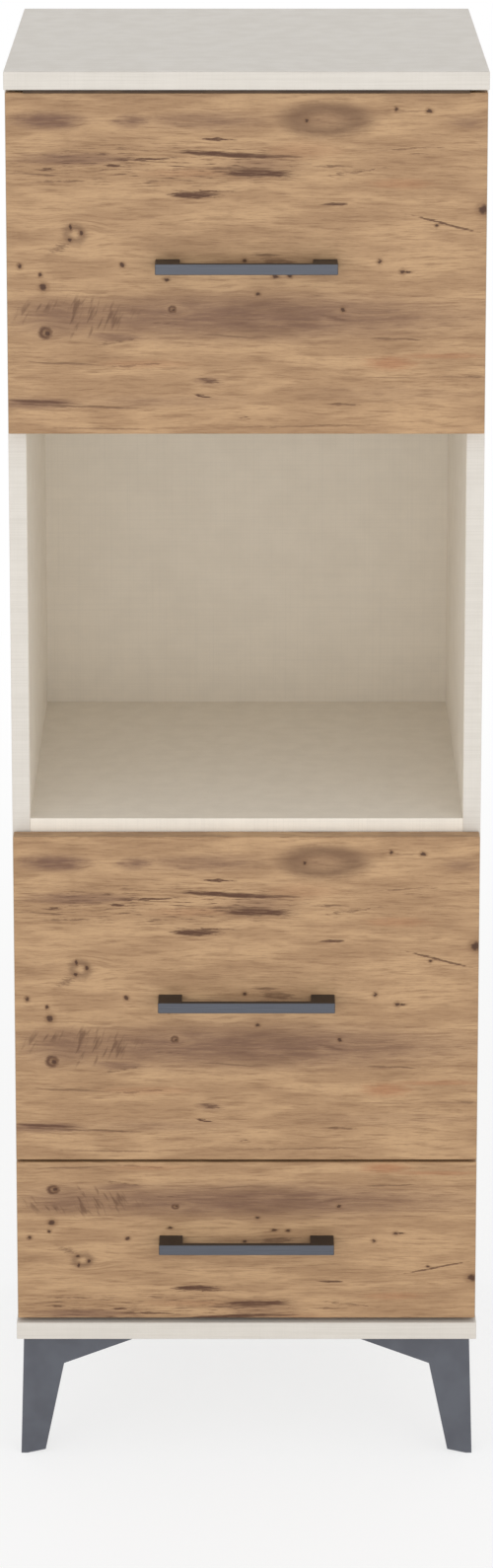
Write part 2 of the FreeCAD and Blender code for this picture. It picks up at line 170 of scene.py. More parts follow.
class Paint(Nodes):
    """A material whose finish follows the place on the piece, in millimetres."""

    # A reach so long that a coordinate up to 1 adds nothing to a distance
    FLATTENED = 10000.0

    def __init__(self, name, **constants):
        self.material = bpy.data.materials.new(name)
        self.material.use_nodes = True
        super().__init__(self.material.node_tree)
        self.shader = self.tree.nodes["Principled BSDF"]
        for socket_name, value in constants.items():
            self.shader.inputs[socket_name.replace("_", " ")].default_value = value
        metres = self.node("TexCoord", {}, {}, "Object")
        self.place = self.node("VectorMath", {"operation": "SCALE"}, {0: metres, "Scale": 1 / MM})
        self.x, self.y, self.z = (self.node("SeparateXYZ", {}, {0: self.place}, axis)
                                  for axis in "XYZ")

    def noise(self, size, detail=2.0, roughness=0.5, place=None):
        """Smooth random values from 0 to 1; size is the grain's length along X, Y and Z."""
        place = place or self.place
        scaled = self.node("VectorMath", {"operation": "DIVIDE"}, {0: place, 1: size})
        return self.node("TexNoise", {}, {"Vector": scaled, "Scale": 1.0, "Detail": detail,
                                          "Roughness": roughness}, "Fac")

    def mix(self, share, first, second):
        """A colour between two others."""
        return self.node("Mix", {"data_type": "RGBA"},
                         {MIX_SHARE: share, MIX_FIRST: first, MIX_SECOND: second}, MIXED_COLOUR)

    def stained(self, tone, value, low, high, amount, stain):
        """A tone with up to amount of a stain, as a value goes from low to high."""
        return self.mix(self.step(value, low, high) * amount, tone, stain)

    def joined(self, x, y, z):
        return self.node("CombineXYZ", {}, {0: x, 1: y, 2: z})

    def length(self, vector):
        return self.node("VectorMath", {"operation": "LENGTH"}, {0: vector}, "Value")

    def oval(self, place, centre, reach, turn=0.0):
        """Distance from centre as a share of reach, in an oval that is turned in its plane.
        A third coordinate up to 1 is flattened away."""
        turned = self.node("Mapping", {"vector_type": "TEXTURE"},
                           {"Vector": place, "Location": (*centre, 0.0),
                            "Rotation": (0.0, 0.0, math.radians(turn)),
                            "Scale": (*reach, self.FLATTENED)})
        return self.length(turned)

    def fading(self, full, gone):
        """How strong a mark is at a distance: whole up to full, and nothing past gone."""
        return lambda away, strength=1.0: self.step(away, full, gone, strength, 0.0)

    def marks(self, across, down, ovals, fade):
        """The strongest of many oval marks; fade turns the distance into a mark's strength.

        Each place carries the marks so far as its third coordinate. That changes nothing in
        the picture, and makes the renderer work the marks out one after another: it has no
        room for all of them at once."""
        whole = 0.0
        for centre, reach, turn, *strength in ovals:
            away = self.oval(self.joined(across, down, whole), centre, reach, turn)
            whole = fade(away, *strength).either(whole)
        return whole

    def feed(self, socket, value):
        self.tree.links.new(value.socket, self.shader.inputs[socket])

    def bump(self, height, depth):
        """Relief whose full height is depth millimetres."""
        self.feed("Normal", self.node("Bump", {}, {"Strength": 1.0, "Distance": depth * MM,
                                                   "Height": height}))


# ---------------------------------------------------------------------------
# Pine print of the fronts
# ---------------------------------------------------------------------------
PINE_LIGHT = colour(188, 153, 115)
PINE_HONEY = colour(165, 131, 97)
PINE_DEEP = colour(124, 91, 63)
PINE_PURPLE = colour(117, 86, 68)
PINE_RED = colour(160, 108, 74)
PINE_STREAK = colour(88, 58, 40)
PINE_KNOT = colour(70, 43, 28)

# Marks on the print: the place, in millimetres to the right of the middle and down from the
# top edge; the reach across and down; a turn in degrees; and a strength up to 1.
# Soft purple-brown clouds
CLOUDS = (
    ((-205, 29), (50, 12), 0, 0.85), ((-118, 30), (26, 9), 0, 0.65),
    ((-42, 29), (75, 13), 0, 0.5), ((84, 27), (58, 19), 0, 0.28), ((228, 31), (22, 9), 0, 0.45),
    ((-178, 69), (75, 8), 0, 0.7), ((14, 76), (52, 15), 0, 0.35),
    ((0, 236), (300, 32), 0, 0.7), ((-190, 236), (75, 28), 0, 0.55),
    ((70, 240), (60, 24), 0, 0.25), ((-135, 256), (45, 8), 0, 0.6),
    ((-222, 328), (60, 8), 0, 0.7), ((-90, 326), (120, 9), 0, 0.3),
    ((150, 318), (120, 12), 0, 0.18), ((-40, 304), (18, 6), 0, 0.5),
)
# Warm reddish patches
BLUSHES = (
    ((150, 285), (34, 10), 0, 0.85), ((205, 277), (60, 4), 0, 0.6),
    ((160, 95), (42, 7), 0, 0.5), ((-60, 84), (60, 6), 0, 0.3), ((-105, 286), (60, 6), 0, 0.35),
    ((60, 60), (50, 12), 0, 0.25),
)
# Dark streaks
STREAKS = (
    ((-30, 48.5), (19, 1.6), 0, 0.85), ((-108, 69.5), (34, 1.3), -2, 0.75),
    ((-20, 64.5), (62, 3.0), 3, 0.8), ((22, 66), (42, 2.0), 2, 0.55),
    ((10, 84), (44, 4.6), 2, 0.8), ((-8, 79), (40, 1.6), 0, 0.5),
    ((-54, 107), (29, 3.7), 0, 0.95), ((-40, 103), (36, 1.0), 0, 0.7),
    ((-138, 76), (9, 1.6), 0, 0.75), ((-205, 79.5), (10, 2.2), -8, 0.7),
    ((-215, 85), (24, 1.0), 4, 0.5), ((-196, 93), (34, 1.1), -2, 0.45),
    ((92, 116.5), (15, 1.9), 0, 0.75), ((88, 77), (19, 1.2), 0, 0.5),
    ((112, 83), (38, 1.1), -9, 0.45), ((172, 58), (40, 0.9), -4, 0.4),
    ((205, 137), (40, 1.5), 15, 0.7), ((171, 19), (17, 0.9), 0, 0.35),
    ((178, 64), (13, 0.8), 0, 0.4), ((-176, 331), (75, 1.4), 2, 0.45),
    ((-215, 326), (40, 1.8), 3, 0.6), ((100, 329), (18, 1.3), 2, 0.5),
    ((155, 259), (30, 1.3), 2, 0.45), ((-38, 304), (11, 2.6), 0, 0.55),
    ((-47, 320), (7, 2.0), 12, 0.8), ((-3, 343), (4, 1.6), 0, 0.7),
    ((-190, 285), (42, 1.6), 3, 0.4), ((-115, 287), (34, 1.2), -4, 0.4),
    ((242, 299), (12, 1.2), -8, 0.45), ((-84, 243), (9, 1.0), 0, 0.45),
    ((-135, 262), (24, 1.2), -10, 0.45), ((-20, 256), (34, 1.2), 4, 0.35),
    ((34, 178), (20, 5.0), 8, 0.5), ((20, 170), (14, 2.0), 0, 0.5),
    ((90, 237), (16, 2.0), 12, 0.3), ((222, 300), (40, 1.0), 0, 0.25),
    ((-150, 355), (60, 1.0), 1, 0.35), ((60, 352), (90, 1.0), -1, 0.3),
    ((150, 300), (40, 1.0), 1, 0.3), ((-194, 163), (11, 4.0), -35, 0.45),
)
# Dark pin knots, all of one strength
PINS = (
    ((188, 19), (3.6, 2.6), 0), ((154, 17), (2.2, 2.6), 0), ((-235, 182), (2.9, 3.0), 0),
    ((-214, 191), (2.5, 2.9), 0), ((-211, 204), (4.6, 4.6), 0), ((-129, 180.5), (3.0, 2.8), 0),
    ((138, 177), (2.8, 2.8), 0), ((162, 188), (3.2, 2.8), 0), ((167, 188), (5.0, 1.2), 0),
    ((12, 211.5), (3.0, 2.4), 0), ((-83, 196), (3.2, 2.0), 0), ((100, 228), (2.4, 3.0), 0),
    ((62, 29), (2.6, 2.6), 0), ((197, 139), (2.2, 2.0), 0), ((245, 122), (6.0, 6.5), 0),
    ((-182, 141), (2.0, 3.4), 0), ((-171, 147), (2.6, 3.2), 0), ((-183, 154), (2.6, 2.4), 0),
    ((-2, 176), (3.0, 2.2), 0), ((-207, 253), (3.6, 3.2), 0), ((-76, 228), (2.2, 1.9), 0),
    ((45, 192), (3.0, 2.4), 0), ((30, 193), (4.0, 2.0), 0),
)
# Knots with a growth ring
RINGED = (
    ((-209, 252.5), (9.5, 9.0), 0, 0.95), ((-77, 227.5), (6.0, 5.6), 0, 0.95),
    ((82, 28), (64, 25), 0, 0.55), ((119, 28), (14, 13), 0, 0.35),
    ((22, 238), (60, 30), 0, 0.2), ((-178, 148), (17, 15), 25, 0.5),
)
# Places that the grain runs round, and how much of the way it is drawn to their middle
BENDS = (
    ((84, 27), (60, 26)), ((-178, 148), (44, 26)), ((-209, 252), (30, 18)),
    ((-77, 227), (22, 14)), ((34, 180), (44, 20)),
)
BEND_PULL = 0.6
# Where fine cracks are thick, and where slanted ripples cross the grain, clear of a knot
CRACKED = ((-90.0, 76.0), (220.0, 30.0))
RIPPLED = ((-182.0, 236.0), (78.0, 26.0))
UNRIPPLED = ((-209.0, 250.0), (26.0, 22.0))
RIPPLE_TURN = -66.0

# Sizes of the noise along and across the fibres, and of the ripples along and across theirs
SWAY = (190.0, 75.0, 1.0)
WRIGGLE = (38.0, 16.0, 1.0)
FRAYS = (13.0, 1.5, 1.0)
RAGS = (5.0, 3.0, 1.0)
BROAD = (120.0, 23.0, 1.0)
PATCHES = (44.0, 4.2, 1.0)
FIBRES = (26.0, 1.2, 1.0)
PORES = (7.0, 0.55, 1.0)
CRACKS = (28.0, 1.4, 1.0)
RIPPLES = (26.0, 5.5, 1.0)

# How deep the edging's own grain reaches into a front, and how far the print runs on for
# each millimetre behind the face
EDGING_DEPTH = 0.2
RUN_OVER = 0.6


def print_place(paint, top, start, stretch):
    """A point's place on the print: across from the middle, and down from the print's top.
    The edging on the two sides has its grain upright."""
    down = (top - paint.z) * stretch + start + (paint.y - flap_low.y) * RUN_OVER
    side_edge = abs(paint.x) > flap_high.x - EDGING_DEPTH
    across = paint.x + side_edge * (paint.z - paint.x)
    down = down + side_edge * (paint.y - down)
    return across, down


def bent_round_knots(paint, flat, down):
    """The rows, drawn to the middle of each place that the grain runs round."""
    for centre, reach in BENDS:
        near = paint.step(paint.oval(flat, centre, reach), 0.0, 1.0, BEND_PULL, 0.0)
        down = down + near * (centre[1] - down)
    return down


def cracks(paint, flat, grain):
    """Fine cracks along the grain."""
    zone = paint.step(paint.oval(flat, *CRACKED), 0.4, 1.0, 1.0, 0.22)
    lines = paint.step(paint.noise(CRACKS, 4.0, 0.65, place=grain), 0.54, 0.64)
    return lines * zone


def ripples(paint, flat):
    """Short slanted marks across the grain."""
    slanted = paint.node("Mapping", {"vector_type": "TEXTURE"},
                         {"Vector": flat, "Rotation": (0.0, 0.0, math.radians(RIPPLE_TURN)),
                          "Scale": RIPPLES})
    waves = paint.node("TexNoise", {}, {"Vector": slanted, "Scale": 1.0, "Detail": 2.0}, "Fac")
    zone = paint.step(paint.oval(flat, *RIPPLED), 0.55, 1.05, 1.0, 0.0)
    off_knot = paint.step(paint.oval(flat, *UNRIPPLED), 0.75, 1.15)
    return paint.step(waves, 0.50, 0.66) * zone * off_knot


def growth_ring(paint, away, strength):
    """A ring half way out from a knot's middle, fading at its rim."""
    wave = (away * (2.0 * math.pi) - math.pi / 2).sine() * 0.5 + 0.5
    return wave * paint.step(away, 0.75, 1.15, strength, 0.0)


def pine(name, top, start=0.0, stretch=1.0):
    """The pine print on a front whose top edge is at height top; start and stretch place
    the print's rows on it."""
    paint = Paint(name, Specular_IOR_Level=0.3)
    across, down = print_place(paint, top, start, stretch)
    flat = paint.joined(across, down, 0.0)
    bent = bent_round_knots(paint, flat, down)
    sway = paint.noise(SWAY, place=flat) - 0.5
    wriggle = paint.noise(WRIGGLE, place=flat) - 0.5
    grain = paint.joined(across, bent + sway * 10.0 + wriggle * 2.5, 0.0)

    frayed = paint.noise(FRAYS, 3.0, 0.6, place=grain) - 0.5
    ragged = paint.noise(RAGS, place=flat) - 0.5
    rough_x = across + frayed * 44.0
    rough_down = down + frayed * 5.0 + wriggle * 3.0
    knot_x = across + ragged * 4.0
    knot_down = down + ragged * 4.0

    broad = paint.noise(BROAD, 3.0, 0.55, place=grain)
    patches = paint.noise(PATCHES, 4.0, 0.65, place=grain)
    fibres = paint.noise(FIBRES, 4.0, 0.7, place=grain)
    pores = paint.noise(PORES, place=grain)

    tone = paint.mix(paint.step(broad, 0.36, 0.62), PINE_LIGHT, PINE_HONEY)
    tone = paint.stained(tone, patches, 0.47, 0.70, 0.50, PINE_DEEP)
    cloud = paint.marks(rough_x, rough_down, CLOUDS, paint.fading(0.15, 1.15))
    tone = paint.mix(cloud * paint.step(patches, 0.25, 0.60, 0.75, 1.3), tone, PINE_PURPLE)
    blush = paint.marks(rough_x, rough_down, BLUSHES, paint.fading(0.2, 1.1))
    tone = paint.mix(blush * 0.8, tone, PINE_RED)
    tone = paint.stained(tone, fibres, 0.50, 0.72, 0.50, PINE_DEEP)
    tone = paint.stained(tone, fibres, 0.46, 0.26, 0.38, PINE_LIGHT)
    tone = paint.stained(tone, pores, 0.56, 0.78, 0.26, PINE_STREAK)
    tone = paint.mix(cracks(paint, flat, grain) * 0.85, tone, PINE_STREAK)
    tone = paint.mix(ripples(paint, flat) * 0.60, tone, PINE_STREAK)

    streak = paint.marks(rough_x, rough_down, STREAKS, paint.fading(0.55, 1.12))
    tone = paint.mix(streak * paint.step(fibres, 0.30, 0.52, 0.40, 1.3), tone, PINE_STREAK)
    ringed = paint.marks(knot_x, knot_down, RINGED,
                         lambda away, strength: growth_ring(paint, away, strength))
    tone = paint.mix(ringed, tone, PINE_STREAK)
    pins = paint.marks(knot_x, knot_down, PINS, paint.fading(0.0, 2.4))
    tone = paint.mix(paint.step(pins, 0.05, 0.75, 0.0, 0.55), tone, PINE_DEEP)
    tone = paint.mix(paint.step(pins, 0.62, 0.92, 0.0, 0.92), tone, PINE_KNOT)

    paint.feed("Base Color", tone)
    paint.feed("Roughness", paint.step(fibres, 0.2, 0.8, 0.44, 0.58))
    paint.bump(fibres * 0.7 + pores * 0.3, 0.06)
    return paint.material


# ---------------------------------------------------------------------------
# Cream boards, metals and plastics
# ---------------------------------------------------------------------------
CREAM = colour(215, 209, 200)
# A lighter, warmer cream for the faces turned to the middle and for the shelves: painted light,
# standing in for the light that the inside of the cabinet lacks.
CREAM_PAINTED_LIGHT = colour(238, 230, 217)
# The back panel's cream: a warmer tone of its own board, and lighter than the carcass as painted
# light for the shade at the back of the niche.
CREAM_BACK_TONE_AND_LIGHT = colour(226, 216, 200)
CREAM_SHADE = colour(184, 177, 166)
CHIP_LIGHT = colour(196, 166, 124)
CHIP_DARK = colour(134, 100, 66)
FAINT_PRINT = 0.08
FACE_DEPTH = 0.3
ROUGHNESS_SPREAD = 0.06


def cream_board(name, face, inside_painted_light=None, raw_rear=False, print_depth=0.22):
    """Cream melamine with a faint linear print. The faces turned to the middle may be painted a
    lighter cream, as painted light for the shade inside the cabinet, and the hidden rear edges may
    be left as raw chipboard."""
    paint = Paint(name)
    cloudy = paint.noise((24.0, 24.0, 24.0), 3.0)
    along = paint.noise((120.0, 1.2, 1.6))
    upright = paint.noise((1.4, 1.4, 160.0))
    linen = paint.noise((0.7, 0.7, 0.7))
    # Faces turned to the middle get the lighter cream: painted light.
    tone = paint.mix(abs(paint.x) > side_low.x + FACE_DEPTH, inside_painted_light, face) if inside_painted_light else face
    tone = paint.mix(paint.step(cloudy, 0.30, 0.70, 0.0, 0.10), tone, CREAM_SHADE)
    tone = paint.mix(paint.step(along, 0.35, 0.75, 0.0, print_depth), tone, CREAM_SHADE)
    tone = paint.mix(paint.step(upright, 0.45, 0.80, 0.0, 0.10), tone, CREAM_SHADE)
    if raw_rear:
        chips = paint.noise((3.4, 3.4, 3.4), 3.0, 0.6)
        chip = paint.mix(paint.step(chips, 0.36, 0.62), CHIP_DARK, CHIP_LIGHT)
        tone = paint.mix(paint.y > side_high.y - FACE_DEPTH, tone, chip)
    paint.feed("Base Color", tone)
    paint.feed("Roughness", paint.step(cloudy, 0.3, 0.7, 0.42, 0.52))
    paint.bump(linen * 0.6 + cloudy * 0.4, 0.03)
    return paint.material


def grained(name, base, worn, metallic, roughness, grain, depth):
    """A metal, coating or plastic: a fine grain in its relief and a slight drift of tone."""
    paint = Paint(name, Metallic=metallic)
    drift = paint.noise((28.0, 28.0, 28.0))
    speck = paint.noise((grain, grain, grain))
    paint.feed("Base Color", paint.mix(paint.step(drift, 0.35, 0.7), base, worn))
    paint.feed("Roughness", paint.step(speck, 0.25, 0.75, roughness - ROUGHNESS_SPREAD,
                                       roughness + ROUGHNESS_SPREAD))
    paint.bump(speck, depth)
    return paint.material


HANDLE_FACE = colour(78, 80, 88)
HANDLE_FACE_LIGHT = colour(92, 95, 103)
# The bar's other faces are painted darker than its face: painted shade.
HANDLE_PAINTED_SHADE = colour(50, 44, 41)
HANDLE_FACE_DEPTH = 0.25


def handle_finish(name, bar_front):
    """Brushed blue-grey on the bar's face; the other faces are painted a darker brown-black, as
    painted shade.
    """
    paint = Paint(name, Metallic=0.35)
    brushed = paint.noise((60.0, 0.4, 0.35), 3.0)
    face = paint.y < bar_front + HANDLE_FACE_DEPTH
    face_tone = paint.mix(paint.step(brushed, 0.3, 0.7), HANDLE_FACE, HANDLE_FACE_LIGHT)
    # Faces other than the bar's face get the darker colour: painted shade.
    paint.feed("Base Color", paint.mix(face, HANDLE_PAINTED_SHADE, face_tone))
    paint.feed("Roughness", paint.step(brushed, 0.2, 0.8, 0.38, 0.52))
    paint.bump(brushed, 0.02)
    return paint.material


# The struts' pivots, as y and z: on the side panels, and on the flap's brackets
STUD_BEHIND_FLAP = 26.0
STRUT_PIVOT = tuple(middle_of("strut_brackets_cabinet").yz)
FLAP_STUD = (flap_high.y + STUD_BEHIND_FLAP, middle_of("strut_brackets_flap").z)
SOCKET_RADIUS = 8.0
SOCKET_BLACK = colour(38, 38, 40)
SOCKET_ROUGHNESS = 0.5


def strut_finish(name, base, metallic, roughness, socket):
    """A strut's metal, and black plastic at its socket, whose middle is given by y and z."""
    paint = Paint(name)
    speck = paint.noise((0.5, 0.5, 0.5))
    aside = paint.joined(0.0, paint.y - socket[0], paint.z - socket[1])
    plastic = paint.length(aside) < SOCKET_RADIUS
    paint.feed("Base Color", paint.mix(plastic, base, SOCKET_BLACK))
    paint.feed("Metallic", metallic - plastic * metallic)
    paint.feed("Roughness", plastic * (SOCKET_ROUGHNESS - roughness) + roughness + speck * 0.04)
    paint.bump(speck, 0.008)
    return paint.material


# ---------------------------------------------------------------------------
# Finishes on the carried-over pieces
# ---------------------------------------------------------------------------
def finish_nodes(material, *names):
    for name in names:
        piece = nodes[name]
        piece.data.materials.clear()
        piece.data.materials.append(material)


def front_top(node):
    return corner_box(node)[1].z


# The shallow drawer's print is upside down and drawn together
MIRROR_START = 293.0
MIRROR_STRETCH = -1.282
finish_nodes(pine("flap_pine", flap_high.z), "flap_panel")
finish_nodes(pine("deep_drawer_pine", front_top("deep_drawer_front")), "deep_drawer_front")
finish_nodes(pine("shallow_drawer_pine", front_top("shallow_drawer_front"), MIRROR_START,
                  MIRROR_STRETCH), "shallow_drawer_front")

side_board = cream_board("side_cream", CREAM, inside_painted_light=CREAM_PAINTED_LIGHT, raw_rear=True)
finish_nodes(side_board, "side_panel_right", "side_panel_left")
end_board = cream_board("top_and_bottom_cream", CREAM, raw_rear=True)
finish_nodes(end_board, "top_panel", "bottom_panel")
# The shelves are painted the lighter cream: painted light.
shelf_board = cream_board("shelf_cream", CREAM_PAINTED_LIGHT, print_depth=FAINT_PRINT)
finish_nodes(shelf_board, "niche_shelf", "upper_shelf")
back_board = cream_board("back_cream", CREAM_BACK_TONE_AND_LIGHT, print_depth=FAINT_PRINT)
finish_nodes(back_board, "back_panel")
drawer_board = cream_board("drawer_box_cream", CREAM)
leg_coat = grained("leg_anthracite", colour(86, 89, 97), colour(79, 81, 89),
                   metallic=0.0, roughness=0.46, grain=0.5, depth=0.03)
finish_nodes(leg_coat, "leg_front_right", "leg_front_left", "leg_rear_right", "leg_rear_left")
handle_metal = handle_finish("handle_anthracite", corner_box("flap_handle")[0].y)
finish_nodes(handle_metal, "flap_handle", "deep_drawer_handle", "shallow_drawer_handle")

zinc = grained("zinc_plating", colour(190, 192, 194), colour(180, 183, 186),
               metallic=1.0, roughness=0.34, grain=1.6, depth=0.01)
finish_nodes(zinc, "strut_brackets_cabinet", "strut_brackets_flap")
for drawer in DRAWERS:
    for part in ("_side_right", "_side_left", "_inner_front", "_back", "_base"):
        finish_nodes(drawer_board, drawer + part)
    for part in ("_cabinet_rails", "_middle_rails", "_box_rails"):
        finish_nodes(zinc, drawer + part)
# The hinge is dark brown so that the gap over the flap shows as a dark line: painted shade in the
# colour of that gap's shadow.
hinge_shadow_brown = grained("hinge_painted_shadow", colour(72, 58, 48), colour(88, 71, 57),
                  metallic=0.7, roughness=0.5, grain=1.2, depth=0.01)
finish_nodes(hinge_shadow_brown, "hinge_leaf_cabinet", "hinge_leaf_flap", "hinge_pin")
casting = grained("cam_casting", colour(150, 152, 154), colour(128, 130, 132),
                  metallic=1.0, roughness=0.5, grain=0.8, depth=0.03)
tube_grey = strut_finish("strut_tube_grey", colour(150, 152, 156), metallic=0.3, roughness=0.4,
                         socket=STRUT_PIVOT)
finish_nodes(tube_grey, "strut_tube_right", "strut_tube_left")
rod_steel = strut_finish("strut_rod_steel", colour(214, 216, 218), metallic=1.0, roughness=0.16,
                         socket=FLAP_STUD)
finish_nodes(rod_steel, "strut_rod_right", "strut_rod_left")
rubber = grained("bumper_clear_rubber", colour(206, 204, 198), colour(196, 194, 188),
                 metallic=0.0, roughness=0.55, grain=0.8, depth=0.02)
finish_nodes(rubber, "front_bumpers")


# ---------------------------------------------------------------------------
# Patterns of the screws, cams and collars
# ---------------------------------------------------------------------------
# Edges that turn by less than this are smooth
CREASE = math.radians(38.0)
# A face looks along Z if its normal has more than this in Z
FACING = 0.99
# A screw's rounding and recess as shares of its head, and its tip as a share of its shank
ROUNDED_HEIGHT = 0.6
RECESS_REACH = 0.62
RECESS_WIDTH = 0.24
RECESS_OF_HEIGHT = 0.75
RECESS_OF_RADIUS = 0.45
RECESS_NARROWING = 0.55
TIP_SHARE = 0.35


def choose_faces(wanted):
    """In edit mode, select the faces whose normal is wanted."""
    bpy.ops.mesh.select_mode(type="FACE")
    mesh = bpy.context.object.data
    shape = bmesh.from_edit_mesh(mesh)
    for face in shape.faces:
        face.select_set(wanted(face.normal))
    bmesh.update_edit_mesh(mesh)


def turned_bar(radius, low, high, sides=28):
    """Start a round piece on the Z axis, from height low to high, and open it for editing."""
    bpy.ops.object.select_all(action="DESELECT")
    bpy.ops.mesh.primitive_cylinder_add(vertices=sides, radius=radius * MM,
                                        depth=(high - low) * MM,
                                        location=(0.0, 0.0, (low + high) / 2 * MM))
    bpy.ops.object.transform_apply(location=True, rotation=True, scale=True)
    bpy.ops.object.mode_set(mode="EDIT")
    return bpy.context.object


def cross_cutter(reach, width, depth, top):
    """A cross that narrows downwards from height top, for cutting a driver's recess."""
    bpy.ops.object.select_all(action="DESELECT")
    bpy.ops.mesh.primitive_cube_add(size=1.0, location=(0.0, 0.0, top * MM),
                                    scale=(width * MM, width * MM, 2.0 * depth * MM))
    bpy.ops.object.transform_apply(location=True, rotation=True, scale=True)
    bpy.ops.object.mode_set(mode="EDIT")
    choose_faces(lambda normal: abs(normal.z) < FACING)
    bpy.ops.mesh.extrude_faces_move(
        TRANSFORM_OT_shrink_fatten={"value": (reach - width / 2) * MM})
    choose_faces(lambda normal: normal.z < -FACING)
    bpy.ops.transform.resize(value=(RECESS_NARROWING, RECESS_NARROWING, 1.0),
                             center_override=(0.0, 0.0, (top - depth) * MM))
    bpy.ops.object.mode_set(mode="OBJECT")
    return bpy.context.object


def finish_pattern(piece, material):
    """Smooth the round faces and give the piece its material."""
    bpy.ops.object.select_all(action="DESELECT")
    piece.select_set(True)
    bpy.context.view_layer.objects.active = piece
    bpy.ops.object.shade_smooth_by_angle(angle=CREASE)
    piece.data.materials.append(material)
    return piece


def cut_recess(piece, cutter):
    recess = piece.modifiers.new("recess", "BOOLEAN")
    recess.operation = "DIFFERENCE"
    recess.solver = "EXACT"
    recess.object = cutter
    bpy.context.view_layer.objects.active = piece
    bpy.ops.object.modifier_apply(modifier=recess.name)
    bpy.data.objects.remove(cutter)


def screw(head_radius, head_height, shank_radius, shank_length, material):
    """A screw with a rounded head and a cross recess; the head stands on z = 0, facing +Z.
    The last shank_radius of its length is the tip."""
    piece = turned_bar(head_radius, 0.0, head_height)
    choose_faces(lambda normal: normal.z > FACING)
    bpy.ops.mesh.bevel(offset=head_height * ROUNDED_HEIGHT * MM, segments=4, affect="EDGES")
    choose_faces(lambda normal: normal.z < -FACING)
    bpy.ops.mesh.inset(thickness=(head_radius - shank_radius) * MM)
    bpy.ops.mesh.extrude_region_move(
        TRANSFORM_OT_translate={"value": (0.0, 0.0, -(shank_length - shank_radius) * MM)})
    bpy.ops.mesh.extrude_region_move(
        TRANSFORM_OT_translate={"value": (0.0, 0.0, -shank_radius * MM)})
    bpy.ops.transform.resize(value=(TIP_SHARE, TIP_SHARE, 1.0),
                             center_override=(0.0, 0.0, -shank_length * MM))
    bpy.ops.object.mode_set(mode="OBJECT")
    recess_depth = min(head_height * RECESS_OF_HEIGHT, head_radius * RECESS_OF_RADIUS)
    cut_recess(piece, cross_cutter(reach=head_radius * RECESS_REACH,
                                   width=head_radius * RECESS_WIDTH,
                                   depth=recess_depth, top=head_height))
    return finish_pattern(piece, material)


def cam_disc(radius, depth, material):
    """A cam of a board fitting: a rim round a sunk face with a cross recess, facing +Z."""
    rim = 0.9
    sink = 0.6
    piece = turned_bar(radius, -depth, 0.0, sides=40)
    choose_faces(lambda normal: normal.z > FACING)
    bpy.ops.mesh.inset(thickness=rim * MM)
    bpy.ops.mesh.extrude_region_move(TRANSFORM_OT_translate={"value": (0.0, 0.0, -sink * MM)})
    bpy.ops.object.mode_set(mode="OBJECT")
    cut_recess(piece, cross_cutter(reach=3.4, width=1.3, depth=2.6, top=-sink))
    return finish_pattern(piece, material)


def strut_collar(inner_radius, outer_radius, low, high, material):
    """A ring round the Z axis with eased outer edges."""
    easing = 0.3
    piece = turned_bar(outer_radius, low, high, sides=36)
    choose_faces(lambda normal: abs(normal.z) > FACING)
    bpy.ops.mesh.bevel(offset=easing * MM, segments=2, affect="EDGES")
    choose_faces(lambda normal: abs(normal.z) > FACING)
    bpy.ops.mesh.inset(thickness=(outer_radius - easing - inner_radius) * MM)
    bpy.ops.mesh.bridge_edge_loops()
    bpy.ops.object.mode_set(mode="OBJECT")
    return finish_pattern(piece, material)


# ---------------------------------------------------------------------------
# Setting the small fittings out
# ---------------------------------------------------------------------------
UP = (0.0, 0.0, 1.0)
DOWN = (0.0, 0.0, -1.0)
BACKWARD = (0.0, 1.0, 0.0)
INWARD = (-1.0, 0.0, 0.0)
OUTWARD = (1.0, 0.0, 0.0)
TURN_ON = math.radians(37.0)


def set_out(name, pattern, places, body):
    """Copies of a pattern as one piece; each place is a point in millimetres and the way that
    the copy faces. Each is turned a little further than the last, as screws end up."""
    bpy.ops.object.select_all(action="DESELECT")
    for number, (point, facing) in enumerate(places):
        facing_turn = Vector(facing).to_track_quat("Z", "Y").to_matrix().to_4x4()
        own_turn = Matrix.Rotation(number * TURN_ON, 4, "Z")
        twin = bpy.data.objects.new(name, pattern.data.copy())
        twin.data.transform(Matrix.Translation(Vector(point) * MM) @ facing_turn @ own_turn)
        bpy.context.scene.collection.objects.link(twin)
        twin.select_set(True)
    bpy.context.view_layer.objects.active = twin
    bpy.ops.object.join()
    piece = bpy.context.object
    piece.name = name
    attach(piece, body)
    return piece


def pairs(points, facing):
    """Places on the right-hand side, each followed by its mirror image on the left."""
    mirrored = (-facing[0], facing[1], facing[2])
    return [place for x, y, z in points for place in (((x, y, z), facing), ((-x, y, z), mirrored))]


screw_zinc = grained("screw_zinc", colour(196, 192, 180), colour(172, 168, 158),
                     metallic=1.0, roughness=0.32, grain=0.8, depth=0.01)
wood_screw = screw(head_radius=3.4, head_height=1.8, shank_radius=1.7, shank_length=12.0,
                   material=screw_zinc)

# Each leg's flange has two holes; these are their distances from its outer side and end
LEG_FLANGE = 4.0
LEG_HOLES = ((23.9, 71.9), (71.9, 23.9))
leg_low, leg_high = corner_box("leg_front_right")
rear_leg_high = corner_box("leg_rear_right")[1]
flange_z = leg_high.z - LEG_FLANGE
leg_places = [(leg_high.x - from_side, leg_low.y + from_end, flange_z)
              for from_side, from_end in LEG_HOLES]
leg_places += [(leg_high.x - from_side, rear_leg_high.y - from_end, flange_z)
               for from_side, from_end in LEG_HOLES]
set_out("leg_screws", wood_screw, pairs(leg_places, DOWN), "carcass")

